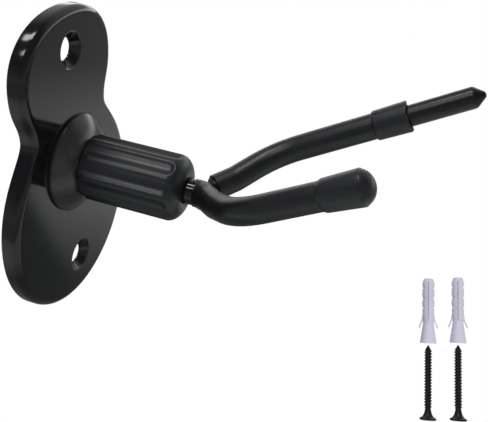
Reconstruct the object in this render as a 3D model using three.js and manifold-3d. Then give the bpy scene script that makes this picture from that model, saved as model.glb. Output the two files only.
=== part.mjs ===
// A wall hanger for a guitar: a peanut-shaped wall plate with a bell-shaped boss, a barrel with a
// swivelling spindle under a fluted grip, and a yoke of two bent rods in soft tubes with rubber caps.
// Two wall plugs and two screws are laid out beside it, each screw pointing into its plug.
//
// Millimetres. +Z is up, the wall face is the plane Y = 0 and the hanger stands out along -Y. The
// origin is where the spindle's axis meets the wall. A "reach" is a distance out from the wall.

import * as THREE from 'three';
import { mergeVertices } from 'three/addons/utils/BufferGeometryUtils.js';
import Module from 'manifold-3d';

// ---- Driving dimensions -------------------------------------------------------------------------

const PLATE_TOP = 61;                 // height of the plate's top above the spindle
const PLATE_BOTTOM = -64;
const PLATE_THICKNESS = 6.6;
const PLATE_EDGE = 3;                 // radius of the rolled front edge
const PLATE_WALL = 3.5;               // the back is hollowed out to this front wall
const PLATE_RIM = 3.2;                // width of the rim that stands on the wall
const PLATE_LAND = 19;                // radius of the solid middle round the spindle
const PLATE_WEB = 1;                  // closes the plate behind the boss
const UPPER_LOBE = { half: 30.5, z: 38.2 };
const WAIST = { half: 26, z: 18.6 };
const LOWER_LOBE = { half: 42.8, z: -20.6 };

const SCREW_HOLE_Z = 46;              // the two holes are this far above and below the spindle
const SCREW_HOLE_RADIUS = 4.2;
const COUNTERSINK_RADIUS = 6.9;

const SPINDLE_RADIUS = 4;             // 8 mm rod, as the arms
const RUNNING_GAP = 0.08;             // radial, between a turning piece and the piece it turns in
const SEAT_GAP = 0.05;                // between pieces pressed or screwed together
const END_GAP = 0.1;                  // along the spindle, between washers and their neighbours

const BOSS_RADIUS = 19.8;
const BOSS_REACH = 13.6;
const POCKET_RADIUS = 10;             // pocket in the back of the boss, for the nut and washers
const POCKET_REACH = 8.3;
const SPIGOT_RADIUS = 13;             // the boss's spigot fills the blind hole in the plate
const SPIGOT_REACH = PLATE_WEB + END_GAP;

const BARREL_RADIUS = 8.5;
const BARREL_REACH = 44;
const BUSH_RADIUS = 6;

const GRIP_RADIUS = 13.1;
const GRIP_START = 14;
const GRIP_SHOULDER = 48.6;
const GRIP_END = 54.2;
const FLUTES = 10;
const FLUTE_TURN = THREE.MathUtils.degToRad(27);   // first groove, from +Z towards -X
const FLUTE_CUTTER = 5;               // radius of the round-ended cutter
const FLUTE_DEPTH = 1.35;

const NECK_RADIUS = 5;
const NECK_REACH = 58.2;
const HUB_RADIUS = 5.2;

const ROD_RADIUS = 4;
const TUBE_RADIUS = 5;
const YOKE_TURN = THREE.MathUtils.degToRad(1.8);   // how far off level the yoke rests
// Corners of an arm's centre line: sideways, reach, up
const ARM_ROOT = [0, 59.5, 0];
const ARM_ELBOW = [11.3, 69.5, 3.8];
const ARM_CORNER = [25.2, 81.3, 11.3];
const ARM_HEADING = [0.05, 1, 0.57];
const ELBOW_BEND = 12;                // bend radii of the centre line
const CORNER_BEND = 27;

// Places along an arm's straight part, measured from its corner
const LEFT = { cap: 31, rim: 44.8, dome: 48.7, rod: 44.8, tube: 43.5 };
const RIGHT = { cap: 41.2, rim: 53.8, rod: 80.9, tube: 49 };
const LEFT_TUBE_START = 6.2;          // along the arm, from its root
const RIGHT_TUBE_START = 6.5;
const TIP_LENGTH = 3.9;               // the right rod's pointed end

// The caps widen from a lip to a rim
const LEFT_CAP = { lip: 5.6, rim: 6.15 };
const RIGHT_CAP = { lip: 5.7, rim: 5.95 };

const SCREW_LENGTH = 39.7;
const SCREW_HEAD_RADIUS = 4.5;
const THREAD_RADIUS = 2;
const THREAD_ROOT = 1.4;
const THREAD_PITCH = 1.55;
const THREADS = 20;
const PLUG_LENGTH = 35.4;
const PLUG_GAP = 0.9;                 // from a screw's tip up to its plug

// The loose fixings are laid out beside the hanger: two screws in a row, each pointing at its plug
const FIXINGS_FOOT = [61.3, -184.4, -141.7];       // midway between the screws' heads
const FIXINGS_UP = [0.656, 0.227, 0.72];           // the way that the screws point
const FIXINGS_ROW = [0.059, -0.966, 0.251];        // from the first to the second
const FIXINGS_APART = 15.6;
const FIXINGS_STEP = 1;               // the second is this much further up than the first

const ROUND = 32;                     // facets round a turned piece
const SMALL_ROUND = 24;
const ROD_ROUND = 16;
const WELD = 1e-4;                    // corners this close are one corner

// ---- Solids and booleans ------------------------------------------------------------------------

const manifold = await Module();
manifold.setup();

function volume(geometry) {
  const corners = geometry.getAttribute('position');
  const index = geometry.getIndex().array;
  const [a, b, c] = [new THREE.Vector3(), new THREE.Vector3(), new THREE.Vector3()];
  let sum = 0;
  for (let i = 0; i < index.length; i += 3) {
    a.fromBufferAttribute(corners, index[i]);
    b.fromBufferAttribute(corners, index[i + 1]);
    c.fromBufferAttribute(corners, index[i + 2]);
    sum += a.dot(b.cross(c)) / 6;
  }
  return sum;
}

// A closed geometry with shared corners and its faces pointing out
function closed(geometry) {
  const bare = geometry.clone();
  bare.deleteAttribute('normal');
  bare.deleteAttribute('uv');
  const merged = mergeVertices(bare, WELD);
  if (volume(merged) < 0) {
    const index = merged.getIndex().array;
    for (let i = 0; i < index.length; i += 3) {
      [index[i], index[i + 1]] = [index[i + 1], index[i]];
    }
  }
  return merged;
}

function solid(geometry) {
  const merged = closed(geometry);
  return new manifold.Manifold(new manifold.Mesh({
    numProp: 3,
    vertProperties: new Float32Array(merged.getAttribute('position').array),
    triVerts: new Uint32Array(merged.getIndex().array),
  }));
}

function fromSolid(body) {
  const mesh = body.getMesh();
  const geometry = new THREE.BufferGeometry();
  geometry.setAttribute('position', new THREE.BufferAttribute(mesh.vertProperties, 3));
  geometry.setIndex(new THREE.BufferAttribute(mesh.triVerts, 1));
  return geometry;
}

function cut(geometry, ...tools) {
  return fromSolid(tools.reduce((body, tool) => body.subtract(solid(tool)), solid(geometry)));
}

function join(...geometries) {
  return fromSolid(geometries.map(solid).reduce((body, next) => body.add(next)));
}

// A piece turned about the spindle's axis, from its outline as [radius, reach] corners
function turned(outline, facets = ROUND) {
  const points = outline.map(([radius, reach]) => new THREE.Vector2(radius, -reach));
  return closed(new THREE.LatheGeometry(points, facets));
}

// A plain ring or tube about the spindle's axis
function ring(inner, outer, start, end, facets = ROUND) {
  return turned([[inner, start], [outer, start], [outer, end], [inner, end], [inner, start]], facets);
}

// Points of a quarter of an ellipse, from one corner's side to the other, as [radius, reach]
function rounding([r0, y0], [r1, y1], steps) {
  return Array.from({ length: steps + 1 }, (_, i) => {
    const angle = (Math.PI / 2) * (i / steps);
    return [r1 + (r0 - r1) * Math.cos(angle), y0 + (y1 - y0) * Math.sin(angle)];
  });
}

// ---- Materials ----------------------------------------------------------------------------------

function finish(color, roughness, metalness) {
  return () => new THREE.MeshStandardMaterial({ color, roughness, metalness });
}

const blackEnamel = finish(0x1b1b1d, 0.22, 0.3);
const blackPlastic = finish(0x1f1f22, 0.5, 0);
const blackRubber = finish(0x1a1a1c, 0.6, 0);
const blackSteel = finish(0x121214, 0.2, 0.6);
const zincSteel = finish(0xa7a9ad, 0.35, 0.9);
const whiteNylon = finish(0xe6e3d8, 0.5, 0);
const lavenderPlastic = finish(0xc9c6da, 0.45, 0);

function piece(name, geometry, material) {
  const mesh = new THREE.Mesh(geometry, material());
  mesh.name = name;
  return mesh;
}

// ---- Wall plate and boss ------------------------------------------------------------------------

// One side of the plate's outline is two lobes and a waist; the other side mirrors it
function plateOutline() {
  const { half: u, z: uz } = UPPER_LOBE;
  const { half: w, z: wz } = WAIST;
  const { half: l, z: lz } = LOWER_LOBE;
  const top = PLATE_TOP;
  const bottom = PLATE_BOTTOM;
  const runs = [
    [[u * 0.59, top], [u, uz + (top - uz) * 0.64], [u, uz]],
    [[u, uz - (uz - wz) * 0.55], [w, wz + (uz - wz) * 0.37], [w, wz]],
    [[w, wz - (wz - lz) * 0.16], [l, lz + (wz - lz) * 0.62], [l, lz]],
    [[l, lz - (lz - bottom) * 0.57], [l * 0.54, bottom], [0, bottom]],
  ];
  const outline = new THREE.Shape();
  outline.moveTo(0, top);
  for (const run of runs) outline.bezierCurveTo(...run.flat());
  const mirrored = ([x, z]) => [-x, z];
  const starts = [[0, top], ...runs.map((run) => run[2])];
  for (let i = runs.length - 1; i >= 0; i -= 1) {
    outline.bezierCurveTo(...mirrored(runs[i][1]), ...mirrored(runs[i][0]), ...mirrored(starts[i]));
  }
  return outline;
}

function screwHole(z) {
  const past = 2;
  const depth = COUNTERSINK_RADIUS - SCREW_HOLE_RADIUS;
  const hole = turned([
    [0, -past],
    [SCREW_HOLE_RADIUS, -past],
    [SCREW_HOLE_RADIUS, PLATE_THICKNESS - depth],
    [COUNTERSINK_RADIUS, PLATE_THICKNESS],
    [COUNTERSINK_RADIUS, PLATE_THICKNESS + past],
    [0, PLATE_THICKNESS + past],
  ], SMALL_ROUND);
  return hole.translate(0, 0, z);
}

// A slab with the plate's outline less an inset, from behind the wall out to a reach, its edges rounded
function plateSlab(inset, reach, edge, bevelSegments) {
  const behind = 6;
  const slab = new THREE.ExtrudeGeometry(plateOutline(), {
    depth: behind + reach - 2 * edge,
    bevelThickness: edge,
    bevelSize: edge,
    bevelOffset: -(inset + edge),
    bevelSegments,
    curveSegments: 10,
  });
  return slab.rotateX(Math.PI / 2).translate(0, behind - edge, 0);
}

// The hollow in the back, which leaves a rim round the outline and a land round the spindle
function backHollow() {
  const depth = PLATE_THICKNESS - PLATE_WALL;
  const chamfer = 1;
  const land = ring(0, PLATE_LAND, -10, depth + 1);
  return cut(plateSlab(PLATE_RIM, depth, chamfer, 1), land);
}

// The boss sits in a blind hole: a thin web closes it at the wall
function wallPlate() {
  const slab = plateSlab(0, PLATE_THICKNESS, PLATE_EDGE, 4);
  const wall = new THREE.BoxGeometry(200, 40, 200);
  wall.translate(0, 20, 0);
  const bossHole = ring(0, SPIGOT_RADIUS + SEAT_GAP, PLATE_WEB, PLATE_THICKNESS + 1);
  return cut(slab, wall, backHollow(), screwHole(SCREW_HOLE_Z), screwHole(-SCREW_HOLE_Z), bossHole);
}

function boss() {
  const base = PLATE_THICKNESS + SEAT_GAP;
  const lip = 0.9;
  const bore = BARREL_RADIUS + SEAT_GAP;
  return turned([
    [bore, POCKET_REACH],
    [POCKET_RADIUS, POCKET_REACH],
    [POCKET_RADIUS, SPIGOT_REACH],
    [SPIGOT_RADIUS, SPIGOT_REACH],
    [SPIGOT_RADIUS, base],
    [BOSS_RADIUS, base],
    [BOSS_RADIUS, base + lip],
    [BOSS_RADIUS - 0.8, base + lip + 1],
    [BOSS_RADIUS - 2.4, base + lip + 2.5],
    [BOSS_RADIUS - 4.4, base + lip + 3.9],
    [BOSS_RADIUS - 6.6, base + lip + 5],
    [BOSS_RADIUS - 8.4, BOSS_REACH],
    [bore, BOSS_REACH],
    [bore, POCKET_REACH],
  ]);
}

// ---- Barrel, bushes, spindle and what holds them together ---------------------------------------

const BARREL_START = POCKET_REACH - 1.5;            // its flange is this thick
const BUSH_LENGTH = 10;

function barrel() {
  const bore = BUSH_RADIUS + SEAT_GAP;
  const flange = POCKET_RADIUS - 0.2;
  const seat = POCKET_REACH - SEAT_GAP;
  return turned([
    [bore, BARREL_START],
    [flange, BARREL_START],
    [flange, seat],
    [BARREL_RADIUS, seat],
    [BARREL_RADIUS, BARREL_REACH],
    [bore, BARREL_REACH],
    [bore, BARREL_START],
  ]);
}

const BUSH_BORE = SPINDLE_RADIUS + RUNNING_GAP;

function rearBush() {
  return ring(BUSH_BORE, BUSH_RADIUS, BARREL_START, BARREL_START + BUSH_LENGTH, SMALL_ROUND);
}

const FRONT_FLANGE = { start: BARREL_REACH + SEAT_GAP, end: BARREL_REACH + 1.4, radius: 7.8 };

function frontBush() {
  const { start, end, radius } = FRONT_FLANGE;
  return turned([
    [BUSH_BORE, start - BUSH_LENGTH],
    [BUSH_RADIUS, start - BUSH_LENGTH],
    [BUSH_RADIUS, start],
    [radius, start],
    [radius, end],
    [BUSH_BORE, end],
    [BUSH_BORE, start - BUSH_LENGTH],
  ], SMALL_ROUND);
}

const NUT = { start: PLATE_WEB + 0.4, end: 4.5, acrossFlats: 13 };
const WASHER_BORE = SPINDLE_RADIUS + 0.2;
const SPRING_WASHER = { start: NUT.end + END_GAP, radius: 7.4, dish: 0.5, thick: 0.6 };
const REAR_WASHER_RADIUS = 8;

function lockNut() {
  const corner = NUT.acrossFlats / Math.sqrt(3);
  const hexagon = new THREE.CylinderGeometry(corner, corner, NUT.end - NUT.start, 6);
  hexagon.translate(0, -(NUT.start + NUT.end) / 2, 0);
  return cut(hexagon, ring(0, SPINDLE_RADIUS + SEAT_GAP, NUT.start - 1, NUT.end + 1, SMALL_ROUND));
}

// A dished spring washer
function springWasher() {
  const { start, radius, dish, thick } = SPRING_WASHER;
  return turned([
    [WASHER_BORE, start],
    [radius, start + dish],
    [radius, start + dish + thick],
    [WASHER_BORE, start + thick],
    [WASHER_BORE, start],
  ], SMALL_ROUND);
}

function rearWasher() {
  const { start, dish, thick } = SPRING_WASHER;
  const back = start + dish + thick + END_GAP;
  return ring(WASHER_BORE, REAR_WASHER_RADIUS, back, BARREL_START - END_GAP, SMALL_ROUND);
}

const THRUST_START = FRONT_FLANGE.end + END_GAP;
const THRUST_WASHER = { start: THRUST_START, end: THRUST_START + 1, radius: 7.4 };

function thrustWasher() {
  const { start, end, radius } = THRUST_WASHER;
  return ring(WASHER_BORE, radius, start, end, SMALL_ROUND);
}

const HUB_REACH = ARM_ROOT[1] + 0.6;

function spindle() {
  const start = PLATE_WEB + 0.2;
  const chamfer = 0.6;
  const end = HUB_REACH - HUB_RADIUS - 0.4;
  return turned([
    [0, start],
    [SPINDLE_RADIUS - chamfer, start],
    [SPINDLE_RADIUS, start + chamfer],
    [SPINDLE_RADIUS, end],
    [0, end],
  ], SMALL_ROUND);
}

// A bright ring whose front is coned to seat the hub
function neckRing() {
  const start = THRUST_WASHER.end + END_GAP;
  const bore = SPINDLE_RADIUS + SEAT_GAP;
  const seatDepth = 1.8;
  return turned([
    [bore, start],
    [NECK_RADIUS, start],
    [NECK_RADIUS, NECK_REACH],
    [bore, NECK_REACH - seatDepth],
    [bore, start],
  ]);
}

// ---- Fluted grip --------------------------------------------------------------------------------

function gripBlank() {
  const barrelBore = BARREL_RADIUS + RUNNING_GAP;
  const neckBore = NECK_RADIUS + RUNNING_GAP;
  const step = THRUST_WASHER.end + 0.4;
  const lip = neckBore + 1.2;
  return turned([
    [barrelBore, GRIP_START],
    [GRIP_RADIUS - 0.5, GRIP_START],
    [GRIP_RADIUS, GRIP_START + 0.5],
    ...rounding([GRIP_RADIUS, GRIP_SHOULDER], [lip, GRIP_END], 7),
    [neckBore, GRIP_END - 0.3],
    [neckBore, step],
    [barrelBore, step],
    [barrelBore, GRIP_START],
  ], 40);
}

function gripSleeve() {
  const length = 60;
  const centre = GRIP_RADIUS - FLUTE_DEPTH + FLUTE_CUTTER;
  const stop = GRIP_SHOULDER - 0.6;
  const cutters = Array.from({ length: FLUTES }, (_, i) => {
    const angle = FLUTE_TURN + (i * 2 * Math.PI) / FLUTES;
    const cutter = new THREE.CapsuleGeometry(FLUTE_CUTTER, length, 4, 14);
    cutter.translate(-Math.sin(angle) * centre, length / 2 - stop, Math.cos(angle) * centre);
    return cutter;
  });
  return cut(gripBlank(), ...cutters);
}

// ---- Yoke ---------------------------------------------------------------------------------------

// A run of straight lines joined by round bends, with points only where it curves
class BentLine extends THREE.Curve {
  constructor(corners, bends, bendSteps = 6) {
    super();
    this.stations = [corners[0]];
    for (let i = 1; i < corners.length - 1; i += 1) {
      this.addBend(corners[i - 1], corners[i], corners[i + 1], bends[i - 1], bendSteps);
    }
    this.stations.push(corners.at(-1));
  }

  addBend(before, corner, after, radius, steps) {
    const into = corner.clone().sub(before).normalize();
    const out = after.clone().sub(corner).normalize();
    const angle = into.angleTo(out);
    const side = out.clone().addScaledVector(into, -into.dot(out)).normalize();
    const start = corner.clone().addScaledVector(into, -radius * Math.tan(angle / 2));
    for (let i = 0; i <= steps; i += 1) {
      const turn = (angle * i) / steps;
      this.stations.push(start.clone()
        .addScaledVector(into, radius * Math.sin(turn))
        .addScaledVector(side, radius * (1 - Math.cos(turn))));
    }
  }

  getPoint(t, target = new THREE.Vector3()) {
    const place = t * (this.stations.length - 1);
    const i = Math.min(Math.floor(place), this.stations.length - 2);
    return target.lerpVectors(this.stations[i], this.stations[i + 1], place - i);
  }

  getPointAt(t, target) {
    return this.getPoint(t, target);
  }

  getTangentAt(t, target) {
    return this.getTangent(t, target);
  }
}

function armPoint(side, [across, reach, up]) {
  return new THREE.Vector3(side * across, -reach, up);
}

function armHeading(side) {
  return armPoint(side, ARM_HEADING).normalize();
}

// The centre line of an arm, from a distance past its root to a distance past its corner
function armLine(side, start, end) {
  const root = armPoint(side, ARM_ROOT);
  const elbow = armPoint(side, ARM_ELBOW);
  const corner = armPoint(side, ARM_CORNER);
  const first = elbow.clone().sub(root).normalize();
  const from = root.clone().addScaledVector(first, start);
  const to = corner.clone().addScaledVector(armHeading(side), end);
  return new BentLine([from, elbow, corner, to], [ELBOW_BEND, CORNER_BEND]);
}

// A round bar, or a tube where inner is over 0, along a centre line
function swept(line, outer, inner, facets) {
  const section = new THREE.Shape();
  section.absarc(0, 0, outer, 0, 2 * Math.PI);
  if (inner > 0) {
    const hole = new THREE.Path();
    hole.absarc(0, 0, inner, 0, 2 * Math.PI);
    section.holes.push(hole);
  }
  return closed(new THREE.ExtrudeGeometry(section, {
    extrudePath: line,
    steps: line.stations.length - 1,
    curveSegments: facets / 2,
  }));
}

// Turns a piece made about the spindle's axis so that its reach runs along an arm's straight part,
// from the arm's corner
function alongArm(geometry, side) {
  const turn = new THREE.Quaternion().setFromUnitVectors(new THREE.Vector3(0, -1, 0), armHeading(side));
  const corner = armPoint(side, ARM_CORNER);
  return geometry.clone().applyQuaternion(turn).translate(corner.x, corner.y, corner.z);
}

// Takes the hub's seat out of the root of a rod or a tube
function clearOfHub(geometry) {
  const seat = new THREE.SphereGeometry(HUB_RADIUS + 0.3, 20, 12);
  seat.translate(0, -HUB_REACH, 0);
  return cut(geometry, seat);
}

// The two rods meet behind the hub, so each keeps to its own side of the middle
function ownSide(geometry, side) {
  const otherSide = new THREE.BoxGeometry(40, 200, 80);
  otherSide.translate(side * (0.15 - 20), 0, 0);
  return cut(geometry, otherSide);
}

const ROD_START = 2;                  // along the arm, inside the hub's seat

function leftRod() {
  return ownSide(clearOfHub(swept(armLine(-1, ROD_START, LEFT.rod), ROD_RADIUS, 0, ROD_ROUND)), -1);
}

function rightRod() {
  const shoulder = RIGHT.rod - TIP_LENGTH;
  const shank = swept(armLine(1, ROD_START, shoulder), ROD_RADIUS, 0, ROD_ROUND);
  const radius = ROD_RADIUS - 0.03;
  const tip = turned([
    [0, shoulder - 1],
    [radius, shoulder - 1],
    [radius, shoulder],
    [1.4, RIGHT.rod - 0.7],
    [0.8, RIGHT.rod - 0.15],
    [0, RIGHT.rod],
  ], ROD_ROUND);
  return ownSide(clearOfHub(join(shank, alongArm(tip, 1))), 1);
}

function armTube(side, start, end) {
  const inner = ROD_RADIUS + 0.2;
  return ownSide(clearOfHub(swept(armLine(side, start, end), TUBE_RADIUS, inner, 20)), side);
}

function leftCap() {
  const bore = TUBE_RADIUS + SEAT_GAP;
  const deep = LEFT.rod + 0.3;
  const dome = rounding([LEFT_CAP.rim, LEFT.rim - 1.5], [0, LEFT.dome], 9);
  return alongArm(turned([
    [bore, LEFT.cap],
    [LEFT_CAP.lip, LEFT.cap + 1.2],
    [LEFT_CAP.rim, LEFT.rim],
    ...dome.filter(([, place]) => place > LEFT.rim),
    [0, deep],
    [bore, deep],
    [bore, LEFT.cap],
  ]), -1);
}

function rightCap() {
  const bore = TUBE_RADIUS + SEAT_GAP;
  return alongArm(turned([
    [bore, RIGHT.cap - 0.7],
    [RIGHT_CAP.lip, RIGHT.cap],
    [RIGHT_CAP.rim, RIGHT.rim],
    [bore, RIGHT.rim],
    [bore, RIGHT.cap - 0.7],
  ]), 1);
}

function yokeHub() {
  const knuckle = new THREE.SphereGeometry(HUB_RADIUS, 20, 12);
  return closed(knuckle.translate(0, -HUB_REACH, 0));
}

function yoke() {
  const group = new THREE.Group();
  group.rotation.y = YOKE_TURN;
  group.add(
    piece('yoke_hub', yokeHub(), blackSteel),
    piece('arm_rod_left', leftRod(), blackSteel),
    piece('arm_rod_right', rightRod(), blackSteel),
    piece('arm_tube_left', armTube(-1, LEFT_TUBE_START, LEFT.tube), blackRubber),
    piece('arm_tube_right', armTube(1, RIGHT_TUBE_START, RIGHT.tube), blackRubber),
    piece('end_cap_left', leftCap(), blackRubber),
    piece('end_cap_right', rightCap(), blackRubber),
  );
  return group;
}

// ---- Screws and wall plugs ----------------------------------------------------------------------

// A screw or plug is made upright, from [radius, height] corners, from the bottom up
function upright(outline, facets) {
  const points = outline.map(([radius, height]) => new THREE.Vector2(radius, height));
  return closed(new THREE.LatheGeometry(points, facets).rotateX(Math.PI / 2));
}

function screw() {
  const firstThread = 6.6;
  const turns = Array.from({ length: THREADS }, (_, i) => {
    const height = firstThread + i * THREAD_PITCH;
    const crest = i === THREADS - 1 ? THREAD_RADIUS - 0.4 : THREAD_RADIUS;
    return [[crest, height], [THREAD_ROOT, height + THREAD_PITCH / 2]];
  }).flat();
  return upright([
    [0, 0],
    [SCREW_HEAD_RADIUS, 0],
    [SCREW_HEAD_RADIUS, 0.7],
    [2.9, 2],
    [2.2, 3.4],
    [1.6, 5.6],
    ...turns,
    [0.9, SCREW_LENGTH - 2],
    [0, SCREW_LENGTH],
  ], 10);
}

const PLUG = { mouth: 4.45, throat: 2.65, body: 3.28, bore: 2.1 };
const GROOVES = [19.2, 24.5, 30.2];   // heights of the grooves round a plug
const SLIT = { width: 0.4, depth: 0.9, bottom: 11.9, top: 33.5 };

function plugBody() {
  const { mouth, throat, body, bore } = PLUG;
  const groove = (height) => [[body, height - 1], [throat, height], [body, height + 1]];
  return upright([
    [mouth, 0],
    [throat, 11.7],
    [2.95, 13.4],
    [3.15, 17.4],
    ...GROOVES.flatMap(groove),
    [body, PLUG_LENGTH - 3],
    [3, PLUG_LENGTH - 1.6],
    [2.3, PLUG_LENGTH],
    [0, PLUG_LENGTH],
    [0, PLUG_LENGTH - 1.5],
    [bore, PLUG_LENGTH - 3],
    [bore, 3.5],
    [mouth - 0.9, 0],
    [mouth, 0],
  ], 16);
}

// A thin sprung wing that leans out and down from the plug's side
function wing(side) {
  const leaf = new THREE.Shape();
  leaf.moveTo(2.5, 12.4);
  leaf.quadraticCurveTo(3.4, 11.2, 4.4, 8.2);
  leaf.lineTo(5.2, 8.6);
  leaf.quadraticCurveTo(4.2, 11.8, 3.4, 14.6);
  leaf.lineTo(2.8, 16.8);
  leaf.closePath();
  const depth = 1.6;
  const geometry = new THREE.ExtrudeGeometry(leaf, { depth, bevelEnabled: false, curveSegments: 4 });
  geometry.rotateX(Math.PI / 2).translate(0, depth / 2, 0);
  return side < 0 ? geometry.rotateZ(Math.PI) : geometry;
}

// A slit down the front or the back, which stops short of the bore until a screw splits it
function slit(side) {
  const { width, depth, bottom, top } = SLIT;
  const past = 3;
  const tool = new THREE.BoxGeometry(width, depth + past, top - bottom);
  return tool.translate(0, side * (PLUG.body - depth + (depth + past) / 2), (top + bottom) / 2);
}

function wallPlug() {
  return cut(join(plugBody(), wing(1), wing(-1)), slit(1), slit(-1));
}

function fixings() {
  const up = new THREE.Vector3(...FIXINGS_UP).normalize();
  const across = up.clone().cross(new THREE.Vector3(...FIXINGS_ROW)).normalize();
  const row = across.clone().cross(up);
  const group = new THREE.Group();
  group.position.set(...FIXINGS_FOOT);
  group.quaternion.setFromRotationMatrix(new THREE.Matrix4().makeBasis(row, across, up));
  for (const [name, side] of [['1', -1], ['2', 1]]) {
    const screwMesh = piece(`screw_${name}`, screw(), blackSteel);
    const plugMesh = piece(`wall_plug_${name}`, wallPlug(), lavenderPlastic);
    screwMesh.position.set((side * FIXINGS_APART) / 2, 0, (side * FIXINGS_STEP) / 2);
    plugMesh.position.copy(screwMesh.position);
    plugMesh.position.z += SCREW_LENGTH + PLUG_GAP;
    group.add(screwMesh, plugMesh);
  }
  return group;
}

// ---- The hanger ---------------------------------------------------------------------------------

const hanger = new THREE.Group();
hanger.add(
  piece('wall_plate', wallPlate(), blackEnamel),
  piece('boss', boss(), blackEnamel),
  piece('barrel', barrel(), zincSteel),
  piece('rear_bush', rearBush(), whiteNylon),
  piece('front_bush', frontBush(), whiteNylon),
  piece('lock_nut', lockNut(), zincSteel),
  piece('spring_washer', springWasher(), zincSteel),
  piece('rear_washer', rearWasher(), zincSteel),
  piece('thrust_washer', thrustWasher(), zincSteel),
  piece('spindle', spindle(), zincSteel),
  piece('neck_ring', neckRing(), blackSteel),
  piece('grip_sleeve', gripSleeve(), blackPlastic),
  yoke(),
  fixings(),
);

export default hanger;
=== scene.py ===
"""The looks of a wall guitar hanger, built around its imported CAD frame.

Shapes are worked out in millimetres in the frame's axes and written in metres. "Reach" is the
distance out from the wall, along -Y. Every turned, swept, fluted or threaded piece is made by
one function, turned(), from an outline of (radius, distance) corners along a centre line.
"""

import math

import bmesh
import bpy
import numpy as np
from mathutils import Matrix, Vector


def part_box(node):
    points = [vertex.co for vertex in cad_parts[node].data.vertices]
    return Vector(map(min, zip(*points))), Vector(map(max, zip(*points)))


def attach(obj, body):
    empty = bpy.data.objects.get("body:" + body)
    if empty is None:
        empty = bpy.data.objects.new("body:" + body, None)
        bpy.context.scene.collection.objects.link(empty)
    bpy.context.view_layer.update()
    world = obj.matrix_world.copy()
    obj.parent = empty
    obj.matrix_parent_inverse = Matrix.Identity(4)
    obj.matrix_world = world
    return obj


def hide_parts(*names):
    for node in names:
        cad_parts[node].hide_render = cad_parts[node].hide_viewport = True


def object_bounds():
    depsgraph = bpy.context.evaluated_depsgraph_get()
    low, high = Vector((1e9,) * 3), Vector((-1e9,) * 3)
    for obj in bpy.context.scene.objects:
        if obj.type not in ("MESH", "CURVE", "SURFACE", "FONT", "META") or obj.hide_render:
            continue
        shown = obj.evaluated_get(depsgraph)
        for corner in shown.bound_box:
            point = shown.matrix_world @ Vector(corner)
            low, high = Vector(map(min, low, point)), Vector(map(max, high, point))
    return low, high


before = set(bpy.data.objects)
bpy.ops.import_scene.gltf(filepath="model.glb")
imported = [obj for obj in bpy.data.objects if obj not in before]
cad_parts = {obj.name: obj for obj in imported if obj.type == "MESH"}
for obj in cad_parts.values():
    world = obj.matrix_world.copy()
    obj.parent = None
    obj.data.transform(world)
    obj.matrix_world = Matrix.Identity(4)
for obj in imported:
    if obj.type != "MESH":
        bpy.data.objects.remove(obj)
cad_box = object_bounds()

MM = 0.001


def box_mm(node):
    """The lowest and highest corner of a CAD node, in millimetres."""
    low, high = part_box(node)
    return np.array(low) / MM, np.array(high) / MM


# ---- Sizes, from the frame where a node's box gives them --------------------------------------

PLATE_LOW, PLATE_HIGH = box_mm("wall_plate")
PLATE_THICKNESS = -PLATE_LOW[1]
PLATE_EDGE = 3.0                       # radius of the rolled front edge
PLATE_WALL = 3.5                       # the back is hollowed out to this front wall
PLATE_RIM = 3.2                        # width of the rim that stands on the wall
PLATE_LAND = 19.0                      # radius of the solid middle round the spindle
PLATE_WEB = 1.0                        # closes the plate behind the boss
UPPER_LOBE = (30.5, 38.2)              # half width and height above the spindle
WAIST = (26.0, 18.6)
LOWER_LOBE = (PLATE_HIGH[0], -20.6)
SCREW_HOLE_Z = 46.0
SCREW_HOLE_RADIUS = 4.2
COUNTERSINK_RADIUS = 6.9

SEAT_GAP = 0.05                        # between pieces pressed or screwed together
RUNNING_GAP = 0.08                     # radial, between a turning piece and the piece it turns in
LOOSE_GAP = 0.2                        # radial, inside the washers and the soft tubes

BOSS_RADIUS = box_mm("boss")[1][0]
BOSS_REACH = -box_mm("boss")[0][1]
BARREL_RADIUS = 8.5
SPIGOT_RADIUS = 13.0
POCKET_RADIUS = 10.0
POCKET_REACH = 8.3
BARREL_FLANGE = 1.45                   # its thickness
BUSH_RADIUS = 6.0
BUSH_LENGTH = 10.0
SPINDLE_THREAD = {"depth": 0.45, "length": 14.0, "pitch": 1.25}

GRIP_RADIUS = 13.1
GRIP_START = -box_mm("grip_sleeve")[1][1]
GRIP_SHOULDER = 48.6
GRIP_END = -box_mm("grip_sleeve")[0][1]
GRIP_STEP = 46.95                      # the wide bore ends here, in front of the barrel
FLUTES = 10
FLUTE_TURN = math.radians(-27)         # first groove, from +Z towards +X
FLUTE_CUTTER = 5.0
FLUTE_DEPTH = 1.35

NECK_RADIUS = 5.0
NECK_REACH = -box_mm("neck_ring")[0][1]
NECK_SEAT = 1.8                        # depth of the cone that the hub sits in
HUB_RADIUS = 5.2
HUB_REACH = -box_mm("yoke_hub")[0][1] - HUB_RADIUS

ROD_RADIUS = 4.0
TUBE_RADIUS = 5.0
YOKE_TURN = math.radians(1.8)
ARM_ROOT = (0.0, 59.5, 0.0)            # sideways, reach, up
ARM_ELBOW = (11.3, 69.5, 3.8)
ARM_CORNER = (25.2, 81.3, 11.3)
ARM_HEADING = (0.05, 1.0, 0.57)
ELBOW_BEND = 12.0
CORNER_BEND = 27.0
LEFT = {"cap": 31.0, "rim": 44.8, "dome": 48.7, "rod": 44.8, "tube": 43.5}
RIGHT = {"cap": 41.2, "rim": 53.8, "rod": 80.9, "tube": 49.0}
LEFT_CAP = {"lip": 5.6, "rim": 6.15}   # the caps widen from a lip to a rim
RIGHT_CAP = {"lip": 5.7, "rim": 5.95}
ROD_START = 5.6                        # along an arm, from its root
RIGHT_TUBE_START = 6.5
TIP_LENGTH = 3.9

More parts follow.
